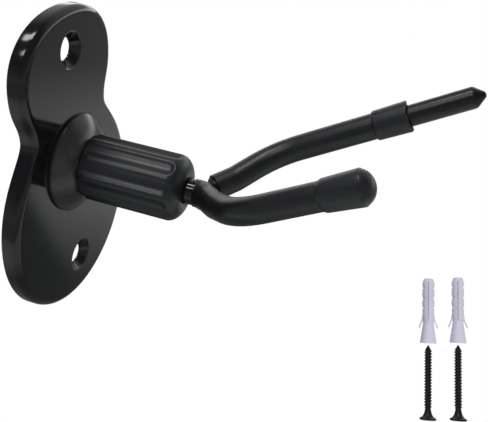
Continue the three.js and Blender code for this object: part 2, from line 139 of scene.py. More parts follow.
FIXINGS_FOOT = (61.3, -184.4, -141.7)  # midway between the screws' heads
FIXINGS_UP = (0.656, 0.227, 0.72)      # the way that the screws point
FIXINGS_ROW = (0.059, -0.966, 0.251)   # from the first to the second
FIXINGS_APART = 15.6
FIXINGS_STEP = 1.0                     # the second is this much further up than the first
SCREW_LENGTH = 39.7
PLUG_GAP = 0.9
SCREW_HEAD_RADIUS = 4.5
THREAD_START = 5.6                     # height above the head
THREAD_RADIUS = 2.05
THREAD_ROOT = 1.45
THREAD_PITCH = 1.55
PLUG_LENGTH = 35.4
PLUG_MOUTH = 4.45                      # radii up the plug: its mouth, its throat and its body
PLUG_THROAT = 2.65
PLUG_BODY = 3.28
PLUG_SWELL = 3.18                      # beside each groove
PLUG_BORE = 2.1
PLUG_GROOVES = (19.2, 24.5, 30.2)      # heights above the plug's mouth
PLUG_SLIT = {"bottom": 11.9, "top": 33.5, "width": 0.34, "depth": 1.05}


# ---- Centre lines --------------------------------------------------------------------------------

class CentreLine:
    """A line in space with a frame that doesn't twist along it."""

    def __init__(self, points):
        self.points = np.array(points, float)
        steps = np.diff(self.points, axis=0)
        lengths = np.linalg.norm(steps, axis=1)
        self.places = np.concatenate([[0], np.cumsum(lengths)])
        heading = steps / lengths[:, None]
        middle = heading[:-1] + heading[1:]
        middle /= np.linalg.norm(middle, axis=1)[:, None]
        self.tangents = np.vstack([heading[:1], middle, heading[-1:]])
        self.sides = self._carried_side()

    def _carried_side(self):
        start = self.tangents[0]
        guess = np.array([0.0, 0.0, 1.0]) if abs(start[2]) < 0.9 else np.array([0.0, 1.0, 0.0])
        side = guess - start * guess.dot(start)
        sides = [side / np.linalg.norm(side)]
        for tangent in self.tangents[1:]:
            side = sides[-1] - tangent * sides[-1].dot(tangent)
            sides.append(side / np.linalg.norm(side))
        return np.array(sides)

    def at(self, place):
        """Centre, tangent, side and cross direction at a distance along the line."""
        def between(rows):
            return np.array([np.interp(place, self.places, rows[:, i]) for i in range(3)])
        tangent = between(self.tangents)
        tangent /= np.linalg.norm(tangent)
        side = between(self.sides)
        side -= tangent * side.dot(tangent)
        side /= np.linalg.norm(side)
        inside = min(max(place, self.places[0]), self.places[-1])
        centre = between(self.points) + tangent * (place - inside)
        return centre, tangent, side, np.cross(side, tangent)


def bent_points(corners, bends, steps=24):
    """Points along straight lines joined by round bends."""
    corners = [np.array(c, float) for c in corners]
    points = [corners[0]]
    for before, corner, after, radius in zip(corners, corners[1:], corners[2:], bends):
        into = (corner - before) / np.linalg.norm(corner - before)
        out = (after - corner) / np.linalg.norm(after - corner)
        angle = math.acos(into.dot(out))
        side = out - into * into.dot(out)
        side /= np.linalg.norm(side)
        start = corner - into * radius * math.tan(angle / 2)
        for i in range(steps + 1):
            turn = angle * i / steps
            points.append(start + into * radius * math.sin(turn) + side * radius * (1 - math.cos(turn)))
    points.append(corners[-1])
    return points


def arm_point(side, place):
    """A point of the yoke in the frame: the yoke rests a little off level."""
    across, reach, up = place
    cos, sin = math.cos(YOKE_TURN), math.sin(YOKE_TURN)
    x = side * across
    return np.array([x * cos + up * sin, -reach, up * cos - x * sin])


def arm_line(side):
    corner = np.array(ARM_CORNER)
    heading = np.array(ARM_HEADING) / np.linalg.norm(ARM_HEADING)
    end = corner + heading * 100
    corners = [arm_point(side, p) for p in (ARM_ROOT, ARM_ELBOW, corner, end)]
    return CentreLine(bent_points(corners, [ELBOW_BEND, CORNER_BEND]))


def corner_place(line):
    """How far along an arm's line its straight part's distances start from."""
    return line.places[-1] - 100


SPINDLE_LINE = CentreLine([(0, 0, 0), (0, -200, 0)])
ARM_LINES = {"left": arm_line(-1), "right": arm_line(1)}


def unit(vector):
    vector = np.array(vector, float)
    return vector / np.linalg.norm(vector)


FIXING_UP = unit(FIXINGS_UP)
FIXING_ACROSS = unit(np.cross(FIXING_UP, FIXINGS_ROW))
FIXING_ROW = np.cross(FIXING_ACROSS, FIXING_UP)


def fixing_foot(number, height):
    """A point on the axis of a screw and its plug, at a height above the screw's head."""
    side = number - 1.5
    up = height + side * FIXINGS_STEP
    return np.array(FIXINGS_FOOT) + FIXING_ROW * side * FIXINGS_APART + FIXING_UP * up


def fixing_line(number, height):
    """The axis of a screw or a plug; its sides are turned to the row."""
    foot = fixing_foot(number, height)
    line = CentreLine([foot, foot + FIXING_UP * 100])
    line.sides = np.array([FIXING_ROW] * 2)
    return line


# ---- Meshes --------------------------------------------------------------------------------------

def add_object(name, vertices, faces, crease=38):
    """A smooth-shaded object from points in millimetres, with sharp edges at over crease degrees."""
    mesh = bpy.data.meshes.new(name)
    mesh.from_pydata([tuple(v * MM) for v in np.asarray(vertices, float)], [], faces)
    piece = bpy.data.objects.new(name, mesh)
    bpy.context.scene.collection.objects.link(piece)
    tidy_mesh(mesh, crease)
    return piece


def tidy_mesh(mesh, crease):
    bm = bmesh.new()
    bm.from_mesh(mesh)
    bmesh.ops.remove_doubles(bm, verts=bm.verts, dist=1e-7)
    bmesh.ops.recalc_face_normals(bm, faces=bm.faces)
    for face in bm.faces:
        face.smooth = True
    for edge in bm.edges:
        if len(edge.link_faces) == 2:
            edge.smooth = edge.calc_face_angle(0) < math.radians(crease)
    bm.to_mesh(mesh)
    bm.free()


def turned(name, outline, line=SPINDLE_LINE, facets=96, shape=None, crease=38):
    """A piece turned about a centre line, from its outline as (radius, distance along) corners.

    An outline that starts and ends on the axis is closed by its poles; any other closes on itself.
    shape(angle, radius, place) may move a point to another radius and place.
    """
    on_axis = outline[0][0] == 0
    angles = np.arange(facets) * 2 * math.pi / facets
    vertices, rows = [], []
    for radius, place in outline:
        centre, tangent, side, cross = line.at(place)
        if radius == 0:
            rows.append([len(vertices)] * facets)
            vertices.append(centre)
            continue
        rows.append(list(range(len(vertices), len(vertices) + facets)))
        for angle in angles:
            r, p = (radius, place) if shape is None else shape(angle, radius, place)
            arm = side * math.cos(angle) + cross * math.sin(angle)
            vertices.append(centre + tangent * (p - place) + arm * r)
    faces = []
    pairs = list(zip(rows, rows[1:])) + ([] if on_axis else [(rows[-1], rows[0])])
    for low, high in pairs:
        for i in range(facets):
            j = (i + 1) % facets
            corners = [low[i], low[j], high[j], high[i]]
            face = [c for n, c in enumerate(corners) if c != corners[n - 1]]
            if len(face) > 2:
                faces.append(face)
    return add_object(name, vertices, faces, crease)


def rounded(corners, steps=5):
    """An outline with its corners rounded. Each corner is (radius, place) or (radius, place, round)."""
    result = []
    count = len(corners)
    closes = corners[0][0] != 0
    for i, corner in enumerate(corners):
        here = np.array(corner[:2], float)
        size = corner[2] if len(corner) > 2 else 0
        at_end = not closes and i in (0, count - 1)
        if size == 0 or at_end:
            result.append(tuple(here))
            continue
        before = np.array(corners[i - 1][:2], float) - here
        after = np.array(corners[(i + 1) % count][:2], float) - here
        reach = min(size, 0.48 * np.linalg.norm(before), 0.48 * np.linalg.norm(after))
        start = here + before / np.linalg.norm(before) * reach
        end = here + after / np.linalg.norm(after) * reach
        for n in range(steps + 1):
            t = n / steps
            result.append(tuple(start * (1 - t) ** 2 + here * 2 * t * (1 - t) + end * t ** 2))
    return result


def softened(corners, steps=5):
    """The same for an outline that doesn't reach the axis and doesn't close."""
    return rounded([(0, corners[0][1])] + corners + [(0, corners[-1][1])], steps)[1:-1]


def dense(outline, step):
    """The same outline with points at most a step apart."""
    result = [outline[0]]
    for before, after in zip(outline, outline[1:]):
        gap = math.dist(before, after)
        count = max(1, math.ceil(gap / step))
        for n in range(1, count + 1):
            t = n / count
            result.append((before[0] * (1 - t) + after[0] * t, before[1] * (1 - t) + after[1] * t))
    return result


def quarter(start, end, steps):
    """Points of a quarter of an ellipse that leaves start along the axis and meets end across it."""
    points = []
    for n in range(steps + 1):
        turn = math.pi / 2 * n / steps
        radius = end[0] + (start[0] - end[0]) * math.cos(turn)
        points.append((radius, start[1] + (end[1] - start[1]) * math.sin(turn)))
    return points


def show(piece, body, slot, material, *nodes):
    """Puts a finished piece on its body in place of its CAD nodes."""
    piece.data.materials.clear()
    piece.data.materials.append(material)
    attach(piece, body)
    if nodes:
        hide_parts(*nodes)
    return piece


# ---- Materials -----------------------------------------------------------------------------------

class Nodes:
    """A short way to write a material's node tree."""

    def __init__(self, name):
        self.material = bpy.data.materials.new(name)
        self.material.use_nodes = True
        self.tree = self.material.node_tree
        self.shader = self.tree.nodes["Principled BSDF"]
        self.place = self.add("ShaderNodeTexCoord").outputs["Object"]

    def add(self, kind, inputs=None, **settings):
        node = self.tree.nodes.new(kind)
        for key, value in settings.items():
            setattr(node, key, value)
        for key, value in (inputs or {}).items():
            self.feed(node.inputs[key], value)
        return node

    def feed(self, socket, value):
        if isinstance(value, bpy.types.NodeSocket):
            self.tree.links.new(value, socket)
        else:
            socket.default_value = value

    def set(self, **inputs):
        for key, value in inputs.items():
            self.feed(self.shader.inputs[key.replace("_", " ")], value)

    def noise(self, scale, detail=3.0, roughness=0.5, vector=None):
        inputs = {
            "Vector": vector or self.place, "Scale": scale, "Detail": detail, "Roughness": roughness,
        }
        return self.add("ShaderNodeTexNoise", inputs).outputs["Fac"]

    def remap(self, value, low, high, to_low, to_high):
        inputs = {
            "Value": value, "From Min": low, "From Max": high, "To Min": to_low, "To Max": to_high,
        }
        return self.add("ShaderNodeMapRange", inputs).outputs["Result"]

    def mix(self, factor, first, second):
        node = self.add("ShaderNodeMix", data_type="RGBA")
        self.feed(node.inputs["Factor"], factor)
        self.feed(node.inputs[6], first)
        self.feed(node.inputs[7], second)
        return node.outputs[2]

    def bump(self, height, distance, strength=1.0, normal=None):
        inputs = {"Height": height, "Distance": distance, "Strength": strength}
        node = self.add("ShaderNodeBump", inputs)
        if normal is not None:
            self.feed(node.inputs["Normal"], normal)
        return node.outputs["Normal"]

    def edges(self, low, high):
        """0 on open surfaces, rising to 1 along edges that stand out."""
        pointed = self.add("ShaderNodeNewGeometry").outputs["Pointiness"]
        return self.remap(pointed, low, high, 0.0, 1.0)


def grey(value, tint=(1.0, 1.0, 1.0)):
    return (value * tint[0], value * tint[1], value * tint[2], 1.0)


def enamel(name, colour, roughness, peel):
    """Black stoving enamel: a faint orange peel under a glossy skin, duller where it is handled."""
    n = Nodes(name)
    smudges = n.noise(28.0, 4.0, 0.6)
    n.set(
        Base_Color=n.mix(n.noise(60.0), grey(colour), grey(colour * 1.35, (1.0, 1.0, 0.96))),
        Roughness=n.remap(smudges, 0.3, 0.75, roughness, roughness * 1.5),
        Specular_IOR_Level=0.45,
        Normal=n.bump(n.noise(140.0, 1.0), 0.00001, peel),
    )
    return n.material


def moulded_plastic(name, colour, tint, roughness):
    """Satin plastic with a fine spark-eroded grain."""
    n = Nodes(name)
    grain = n.noise(2600.0, 2.0, 0.6)
    sink = n.noise(120.0, 2.0)
    n.set(
        Base_Color=n.mix(n.noise(90.0), grey(colour, tint), grey(colour * 1.4, tint)),
        Roughness=n.remap(n.noise(45.0, 3.0), 0.3, 0.7, roughness, roughness * 1.25),
        Specular_IOR_Level=0.5,
        Normal=n.bump(grain, 0.00002, 0.35, n.bump(sink, 0.00008, 0.3)),
    )
    return n.material


def soft_rubber(name, colour, tint, roughness):
    """Soft PVC or rubber: satin, with faint draw marks, and a painted highlight that lightens it along
    its edges.
    """
    n = Nodes(name)
    fine = n.noise(1500.0, 2.0, 0.5)
    slow = n.noise(70.0, 2.0)
    # Painted highlight: the base colour is lightened along sharp edges such as the open lips, standing
    # in for their glints.
    painted_edge_glint = n.edges(0.515, 0.56)
    base = n.mix(n.noise(150.0), grey(colour, tint), grey(colour * 1.3, tint))
    n.set(
        Base_Color=n.mix(painted_edge_glint, base, grey(colour * 2.4, tint)),
        Roughness=n.remap(n.noise(60.0, 3.0), 0.3, 0.7, roughness, roughness * 1.3),
        Specular_IOR_Level=0.5,
        Normal=n.bump(fine, 0.00001, 0.3, n.bump(slow, 0.0002, 0.2)),
    )
    return n.material


def bright_zinc(name):
    """Zinc-plated steel with turning marks."""
    n = Nodes(name)
    stretched = n.add("ShaderNodeMapping", {"Vector": n.place, "Scale": (1.0, 30.0, 1.0)})
    marks = n.noise(900.0, 2.0, 0.5, stretched.outputs["Vector"])
    n.set(
        Base_Color=n.mix(n.noise(200.0), (0.46, 0.47, 0.5, 1.0), (0.6, 0.6, 0.58, 1.0)),
        Metallic=1.0,
        Roughness=n.remap(n.noise(300.0), 0.3, 0.7, 0.22, 0.4),
        Normal=n.bump(marks, 0.00002, 0.4),
    )
    return n.material


def nylon(name):
    n = Nodes(name)
    n.set(
        Base_Color=n.mix(n.noise(150.0), (0.74, 0.71, 0.62, 1.0), (0.82, 0.8, 0.72, 1.0)),
        Roughness=0.45,
        Subsurface_Weight=0.15,
        Subsurface_Scale=0.002,
        Normal=n.bump(n.noise(1500.0), 0.00002, 0.3),
    )
    return n.material


def plug_plastic(name):
    """Lavender-grey polyethylene: waxy, a little see-through, with painted shade that turns its edges
    greyer.
    """
    n = Nodes(name)
    # Painted shade: the base colour turns grey along the plug's edges.
    painted_edge_shade = n.edges(0.52, 0.6)
    base = n.mix(n.noise(120.0, 3.0), (0.72, 0.7, 0.85, 1.0), (0.8, 0.785, 0.9, 1.0))
    n.set(
        Base_Color=n.mix(painted_edge_shade, base, (0.6, 0.6, 0.64, 1.0)),
        Roughness=n.remap(n.noise(80.0), 0.3, 0.7, 0.38, 0.52),
        Subsurface_Weight=0.35,
        Subsurface_Radius=(1.0, 0.9, 1.0),
        Subsurface_Scale=0.0015,
        Normal=n.bump(n.noise(1400.0, 2.0), 0.00003, 0.3),
    )
    return n.material


def black_phosphate(name):
    """Black phosphated screw steel: nearly matt, greyer on the thread's crests."""
    n = Nodes(name)
    worn = n.edges(0.53, 0.62)
    n.set(
        Base_Color=n.mix(worn, grey(0.012), grey(0.06)),
        Metallic=0.35,
        Roughness=n.remap(n.noise(400.0, 4.0), 0.3, 0.7, 0.35, 0.55),
        Normal=n.bump(n.noise(1800.0, 3.0), 0.00003, 0.4),
    )
    return n.material


COOL = (0.94, 0.97, 1.16)
PLATE_ENAMEL = enamel("plate_enamel", 0.004, 0.09, 0.3)
BOSS_ENAMEL = enamel("boss_enamel", 0.018, 0.18, 0.5)
RING_ENAMEL = enamel("ring_enamel", 0.004, 0.05, 0.1)
ROD_ENAMEL = enamel("rod_enamel", 0.003, 0.25, 0.3)
GRIP_PLASTIC = moulded_plastic("grip_plastic", 0.009, COOL, 0.33)
TUBE_RUBBER = soft_rubber("tube_rubber", 0.006, COOL, 0.33)
CAP_RUBBER = soft_rubber("cap_rubber", 0.009, COOL, 0.33)
ZINC_STEEL = bright_zinc("zinc_steel")
BUSH_NYLON = nylon("bush_nylon")
PLUG_PLASTIC = plug_plastic("plug_plastic")
SCREW_BLACK = black_phosphate("screw_black")


# ---- Wall plate ----------------------------------------------------------------------------------

def bezier(p0, p1, p2, p3, steps):
    t = (np.arange(steps) / steps)[:, None]
    p0, p1, p2, p3 = (np.array(p, float) for p in (p0, p1, p2, p3))
    return p0 * (1 - t) ** 3 + p1 * 3 * t * (1 - t) ** 2 + p2 * 3 * t ** 2 * (1 - t) + p3 * t ** 3


def plate_outline(steps=28):
    """The peanut outline as (x, z) points: one side from its top to its bottom, then mirrored."""
    (u, uz), (w, wz), (l, lz) = UPPER_LOBE, WAIST, LOWER_LOBE
    top, bottom = PLATE_HIGH[2], PLATE_LOW[2]
    runs = [
        [(0, top), (u * 0.59, top), (u, uz + (top - uz) * 0.64), (u, uz)],
        [(u, uz), (u, uz - (uz - wz) * 0.55), (w, wz + (uz - wz) * 0.37), (w, wz)],
        [(w, wz), (w, wz - (wz - lz) * 0.16), (l, lz + (wz - lz) * 0.62), (l, lz)],
        [(l, lz), (l, lz - (lz - bottom) * 0.57), (l * 0.54, bottom), (0, bottom)],
    ]
    one_side = np.vstack([bezier(*run, steps) for run in runs])
    other_side = np.vstack([[(0, bottom)], one_side[:0:-1]]) * (-1, 1)
    return np.vstack([one_side, other_side])


def outward_normals(loop):
    along = np.roll(loop, -1, axis=0) - np.roll(loop, 1, axis=0)
    across = np.stack([-along[:, 1], along[:, 0]], axis=1)
    across /= np.linalg.norm(across, axis=1)[:, None]
    return across if across[0, 1] > 0 else -across


class PlateMesh:
    """Rings of points joined by bands, with flat faces filled between loops."""

    def __init__(self):
        self.bm = bmesh.new()

    def ring(self, points, reach):
        return [self.bm.verts.new((x * MM, -reach * MM, z * MM)) for x, z in points]

    def band(self, first, second):
        for i in range(len(first)):
            j = (i + 1) % len(first)
            self.bm.faces.new((first[i], first[j], second[j], second[i]))

    def fill(self, *loops):
        edges = []
        for loop in loops:
            for i, vertex in enumerate(loop):
                following = loop[(i + 1) % len(loop)]
                edges.append(self.bm.edges.get((vertex, following)))
        bmesh.ops.triangle_fill(self.bm, use_beauty=True, edges=edges)

    def bands(self, rings):
        for first, second in zip(rings, rings[1:]):
            self.band(first, second)


def circle(radius, z, count=72):
    angles = np.arange(count) * 2 * math.pi / count
    return np.stack([radius * np.cos(angles), z + radius * np.sin(angles)], axis=1)


def hole_profile():
    """A countersunk hole from the front face to the hollow, as (radius, reach), with softened edges."""
    face, back = PLATE_THICKNESS, PLATE_THICKNESS - PLATE_WALL
    seat = face - (COUNTERSINK_RADIUS - SCREW_HOLE_RADIUS)
    corners = [
        (COUNTERSINK_RADIUS + 0.9, face),
        (COUNTERSINK_RADIUS, face, 0.45),
        (SCREW_HOLE_RADIUS, seat, 0.3),
        (SCREW_HOLE_RADIUS, back, 0.2),
        (SCREW_HOLE_RADIUS + 0.6, back),
    ]
    return softened(corners)


def land_profile():
    """The side of the land in the middle of the back, from the hollow to the wall."""
    return softened([
        (PLATE_LAND + 1.0, PLATE_THICKNESS - PLATE_WALL),
        (PLATE_LAND, PLATE_THICKNESS - PLATE_WALL, 0.5),
        (PLATE_LAND, 0, 0.3),
        (PLATE_LAND - 1.0, 0),
    ])


def boss_seat_profile():
    """The blind hole that the boss sits in, from the front to its floor."""
    hole = SPIGOT_RADIUS + SEAT_GAP
    return softened([(hole, PLATE_THICKNESS), (hole, PLATE_WEB, 0.3), (hole - 1.0, PLATE_WEB)])


def edge_profile():
    """The plate's edge from the hollow, round the rim to the front, as (inset, reach)."""
    hollow = PLATE_THICKNESS - PLATE_WALL
    profile = softened([
        (PLATE_RIM + 1.4, hollow),
        (PLATE_RIM, hollow, 0.9),
        (PLATE_RIM, 0, 0.3),
        (0, 0, 0.4),
        (0, PLATE_THICKNESS - PLATE_EDGE),
    ])
    for n in range(1, 13):
        turn = math.pi / 2 * n / 12
        inset = PLATE_EDGE * (1 - math.cos(turn))
        profile.append((inset, PLATE_THICKNESS - PLATE_EDGE * (1 - math.sin(turn))))
    return profile + [(PLATE_EDGE + 0.6, PLATE_THICKNESS)]


def wall_plate():
    outline = plate_outline()
    normals = outward_normals(outline)
    mesh = PlateMesh()
    edge = [mesh.ring(outline - normals * inset, reach) for inset, reach in edge_profile()]
    mesh.bands(edge)
    land = [mesh.ring(circle(radius, 0, 96), reach) for radius, reach in land_profile()]
    seat = [mesh.ring(circle(radius, 0, 96), reach) for radius, reach in boss_seat_profile()]
    for rings in (land, seat):
        mesh.bands(rings)
        mesh.fill(rings[-1])
    front_loops, hollow_loops = [edge[-1], seat[0]], [edge[0], land[0]]
    for z in (SCREW_HOLE_Z, -SCREW_HOLE_Z):
        hole = [mesh.ring(circle(radius, z), reach) for radius, reach in hole_profile()]
        mesh.bands(hole)
        front_loops.append(hole[0])
        hollow_loops.append(hole[-1])
    mesh.fill(*front_loops)
    mesh.fill(*hollow_loops)
    data = bpy.data.meshes.new("plate")
    mesh.bm.to_mesh(data)
    mesh.bm.free()
    tidy_mesh(data, 38)
    piece = bpy.data.objects.new("plate", data)
    bpy.context.scene.collection.objects.link(piece)
    return show(piece, "wall_bracket", "plate_enamel", PLATE_ENAMEL, "wall_plate")


def boss():
    start = -box_mm("boss")[1][1]
    base = PLATE_THICKNESS + SEAT_GAP
    bore = BARREL_RADIUS + SEAT_GAP
    outline = rounded([
        (bore, POCKET_REACH),
        (POCKET_RADIUS, POCKET_REACH),
        (POCKET_RADIUS, start, 0.3),
        (SPIGOT_RADIUS, start, 0.3),
        (SPIGOT_RADIUS, base),
        (BOSS_RADIUS, base),
        (BOSS_RADIUS, base + 0.95, 0.6),
        (BOSS_RADIUS - 0.9, base + 2.1, 2.0),
        (BOSS_RADIUS - 4.2, base + 4.9, 4.0),
        (BOSS_RADIUS - 8.0, BOSS_REACH, 1.2),
        (bore, BOSS_REACH),
    ], 8)
    piece = turned("boss_bell", outline, facets=144)
    return show(piece, "wall_bracket", "plate_enamel", BOSS_ENAMEL, "boss")


# ---- Grip ----------------------------------------------------------------------------------------

def soft_min(first, second, width):
    """The smaller of two numbers, with the change from one to the other rounded over width."""
    gap = max(width - abs(first - second), 0) / width
    return min(first, second) - gap * gap * width / 4


def fluted(angle, radius, place):
    """Ten grooves with round ends, as a ball-ended cutter leaves them."""
    if radius < BARREL_RADIUS + 1:
        return radius, place
    pitch = 2 * math.pi / FLUTES
    off = (angle - FLUTE_TURN + pitch / 2) % pitch - pitch / 2
    centre = GRIP_RADIUS - FLUTE_DEPTH + FLUTE_CUTTER
    past = max(place - (GRIP_SHOULDER - 0.6), 0)
    inside = FLUTE_CUTTER ** 2 - (centre * math.sin(off)) ** 2 - past ** 2
    if inside < 0:
        return radius, place
    groove = centre * math.cos(off) - math.sqrt(inside)
    return soft_min(radius, groove, 0.45), place


def grip():
    barrel_bore = BARREL_RADIUS + RUNNING_GAP
    neck_bore = NECK_RADIUS + RUNNING_GAP
    outer = dense([(GRIP_RADIUS, GRIP_START + 0.6), (GRIP_RADIUS, 40)], 3.0)
    outer += dense([(GRIP_RADIUS, 40), (GRIP_RADIUS, GRIP_SHOULDER)], 0.4)[1:]
    outline = [(barrel_bore, GRIP_START), (GRIP_RADIUS - 0.9, GRIP_START)]
    outline += [(GRIP_RADIUS - 0.35, GRIP_START + 0.12)] + outer
    outline += quarter((GRIP_RADIUS, GRIP_SHOULDER), (neck_bore + 1.2, GRIP_END), 26)[1:]
    outline += [(neck_bore + 0.35, GRIP_END - 0.05), (neck_bore, GRIP_END - 0.4)]
    outline += [(neck_bore, GRIP_STEP), (barrel_bore, GRIP_STEP)]
    piece = turned("fluted_grip", outline, facets=300, shape=fluted, crease=50)
    return show(piece, "grip", "grip_plastic", GRIP_PLASTIC, "grip_sleeve")


# ---- Spindle, barrel and the pieces round them ---------------------------------------------------

def neck_ring():
    start = -box_mm("neck_ring")[1][1]
    bore = ROD_RADIUS + SEAT_GAP
    outline = rounded([
        (bore, start),
        (NECK_RADIUS, start, 0.3),
        (NECK_RADIUS, NECK_REACH, 0.25),
        (bore, NECK_REACH - NECK_SEAT),
    ])
    piece = turned("bright_neck_ring", outline)
    return show(piece, "yoke", "ring_enamel", RING_ENAMEL, "neck_ring")


def plain_ring(name, node, body, slot, material, bore):
    low, high = box_mm(node)
    start, end, outer = -high[1], -low[1], high[0]
    chamfer = 0.25
    outline = rounded([(bore, start), (outer, start, chamfer), (outer, end, chamfer), (bore, end)])
    show(turned(name, outline), body, slot, material, node)


def inner_rings():
    bush = ROD_RADIUS + RUNNING_GAP
    washer = ROD_RADIUS + LOOSE_GAP
    plain_ring("bush_rear", "rear_bush", "wall_bracket", "bush_nylon", BUSH_NYLON, bush)
    plain_ring("washer_rear", "rear_washer", "yoke", "zinc_steel", ZINC_STEEL, washer)
    plain_ring("washer_thrust", "thrust_washer", "yoke", "zinc_steel", ZINC_STEEL, washer)


def barrel():
    low, high = box_mm("barrel")
    start, end, flange = -high[1], -low[1], high[0]
    bore = BUSH_RADIUS + SEAT_GAP
    outline = rounded([
        (bore, start),
        (flange, start, 0.3),
        (flange, start + BARREL_FLANGE, 0.2),
        (BARREL_RADIUS, start + BARREL_FLANGE),
        (BARREL_RADIUS, end, 0.5),
        (bore, end, 0.3),
    ])
    show(turned("turned_barrel", outline), "wall_bracket", "zinc_steel", ZINC_STEEL, "barrel")


def front_bush():
    low, high = box_mm("front_bush")
    start, end, flange = -high[1], -low[1], high[0]
    bore = ROD_RADIUS + RUNNING_GAP
    outline = rounded([
        (bore, start),
        (BUSH_RADIUS, start, 0.3),
        (BUSH_RADIUS, start + BUSH_LENGTH),
        (flange, start + BUSH_LENGTH, 0.3),
        (flange, end, 0.3),
        (bore, end, 0.2),
    ])
    show(turned("bush_front", outline), "wall_bracket", "bush_nylon", BUSH_NYLON, "front_bush")


def spring_washer():
    low, high = box_mm("spring_washer")
    start, end, outer = -high[1], -low[1], high[0]
    inner = ROD_RADIUS + LOOSE_GAP
    dish = 0.5
    outline = rounded([
        (inner, start, 0.1),
        (outer, start + dish, 0.2),
        (outer, end, 0.2),
        (inner, end - dish, 0.1),
    ])
    show(turned("dished_washer", outline), "yoke", "zinc_steel", ZINC_STEEL, "spring_washer")


def thread(root, crest, pitch, start, end):
    """A shape for turned(): a single-start thread between two places, run out at both ends."""
    def shape(angle, radius, place):
        if not start <= place <= end or radius < root * 0.5:
            return radius, place
        phase = (place / pitch - angle / (2 * math.pi)) % 1
        ramp = 1 - abs(2 * phase - 1)
        height = ramp * ramp * (3 - 2 * ramp)
        fade = min(1, (place - start) / pitch, (end - place) / pitch)
        return radius + (crest - root) * height * fade, place
    return shape


def spindle():
    low, high = box_mm("spindle")
    start, end = -high[1], -low[1]
    root = ROD_RADIUS - SPINDLE_THREAD["depth"]
    threaded = start + SPINDLE_THREAD["length"]
    outline = [(0, start), (root - 0.4, start), (root, start + 0.4)]
    outline += dense([(root, start + 0.4), (root, threaded)], 0.2)[1:]
    outline += [(ROD_RADIUS, threaded + 0.5), (ROD_RADIUS, end - 0.3), (ROD_RADIUS - 0.3, end), (0, end)]
    shape = thread(root, ROD_RADIUS, SPINDLE_THREAD["pitch"], start + 0.3, threaded)
    piece = turned("threaded_spindle", outline, facets=48, shape=shape)
    show(piece, "yoke", "zinc_steel", ZINC_STEEL, "spindle")


def hexagonal(across_flats, start, end):
    """A shape for turned(): a hexagon with its corners chamfered at both ends."""
    def shape(angle, radius, place):
        if radius < across_flats / 2 - 0.6:
            return radius, place
        off = (angle + math.pi / 6) % (math.pi / 3) - math.pi / 6
        flat = across_flats / 2 / math.cos(off)
        from_end = min(place - start, end - place)
        return min(flat, across_flats / 2 + 0.15 + from_end * 1.9), place
    return shape


def lock_nut():
    low, high = box_mm("lock_nut")
    start, end, outer = -high[1], -low[1], high[0]
    across_flats = outer * 2
    bore = ROD_RADIUS + SEAT_GAP
    outline = [(bore, start), (bore + 0.4, start)]
    outline += dense([(outer, start), (outer, end)], 0.12) + [(bore + 0.4, end), (bore, end)]
    piece = turned("hex_nut", outline, facets=144, shape=hexagonal(across_flats, start, end), crease=25)
    show(piece, "yoke", "zinc_steel", ZINC_STEEL, "lock_nut")


# ---- Yoke ----------------------------------------------------------------------------------------

def sphere_outline(radius, place, steps=24):
    points = []
    for n in range(steps + 1):
        turn = math.pi * n / steps
        size = 0 if n in (0, steps) else radius * math.sin(turn)
        points.append((size, place - radius * math.cos(turn)))
    return points


def hub():
    piece = turned("weld_knuckle", sphere_outline(HUB_RADIUS, HUB_REACH), facets=64)
    show(piece, "yoke", "rod_enamel", ROD_ENAMEL, "yoke_hub")


def left_rod():
    line = ARM_LINES["left"]
    end = corner_place(line) + LEFT["rod"]
    outline = [(0, ROD_START)] + dense([(ROD_RADIUS, ROD_START), (ROD_RADIUS, end)], 1.0) + [(0, end)]
    piece = turned("rod_left", outline, line, facets=48)
    show(piece, "yoke", "rod_enamel", ROD_ENAMEL, "arm_rod_left")


def right_rod():
    line = ARM_LINES["right"]
    end = corner_place(line) + RIGHT["rod"]
    shoulder = end - TIP_LENGTH
    tip = rounded([
        (0, shoulder - 2),
        (ROD_RADIUS, shoulder - 1.5),
        (ROD_RADIUS, shoulder, 0.8),
        (0.9, end - 0.2, 0.8),
        (0, end),
    ], 8)[2:]
    outline = [(0, ROD_START)] + dense([(ROD_RADIUS, ROD_START), (ROD_RADIUS, shoulder - 1.5)], 1.0)
    piece = turned("rod_right", outline + tip, line, facets=64)
    show(piece, "yoke", "rod_enamel", ROD_ENAMEL, "arm_rod_right")


def tube(name, node, line, start, end, mouth=0.0):
    """A soft tube along a line; mouth is how much wider it is where it is stretched over the hub."""
    inner = ROD_RADIUS + LOOSE_GAP
    lip = 0.25

    def stretched(angle, radius, place):
        share = min(max((HUB_RADIUS * 2 - (place - start)) / HUB_RADIUS, 0), 1)
        return radius + mouth * share ** 2 * (3 - 2 * share), place

    outer_run = dense([(TUBE_RADIUS, start + lip), (TUBE_RADIUS, end - lip)], 0.6)
    inner_run = dense([(inner, end), (inner, start)], 1.2)
    outline = [(TUBE_RADIUS - lip, start)] + outer_run + [(TUBE_RADIUS - lip, end)] + inner_run
    piece = turned(name, outline, line, 72, stretched)
    show(piece, "yoke", "tube_rubber", TUBE_RUBBER, node)


def wrapped_line(side):
    """The arm's line, but starting straight out of the neck ring and bending round the hub."""
    root = (0.0, NECK_REACH + 0.1, 0.0)
    turn = (0.0, HUB_REACH + 0.4, 0.0)
    corner = np.array(ARM_CORNER)
    heading = np.array(ARM_HEADING) / np.linalg.norm(ARM_HEADING)
    corners = [arm_point(side, p) for p in (root, turn, ARM_ELBOW, corner, corner + heading * 100)]
    return CentreLine(bent_points(corners, [TUBE_RADIUS + 0.4, ELBOW_BEND, CORNER_BEND]))


def tubes():
    wrapped = wrapped_line(-1)
    left_end = corner_place(wrapped) + LEFT["tube"]
    right_end = corner_place(ARM_LINES["right"]) + RIGHT["tube"]
    tube("soft_tube_left", "arm_tube_left", wrapped, 0, left_end, mouth=0.4)
    tube("soft_tube_right", "arm_tube_right", ARM_LINES["right"], RIGHT_TUBE_START, right_end)


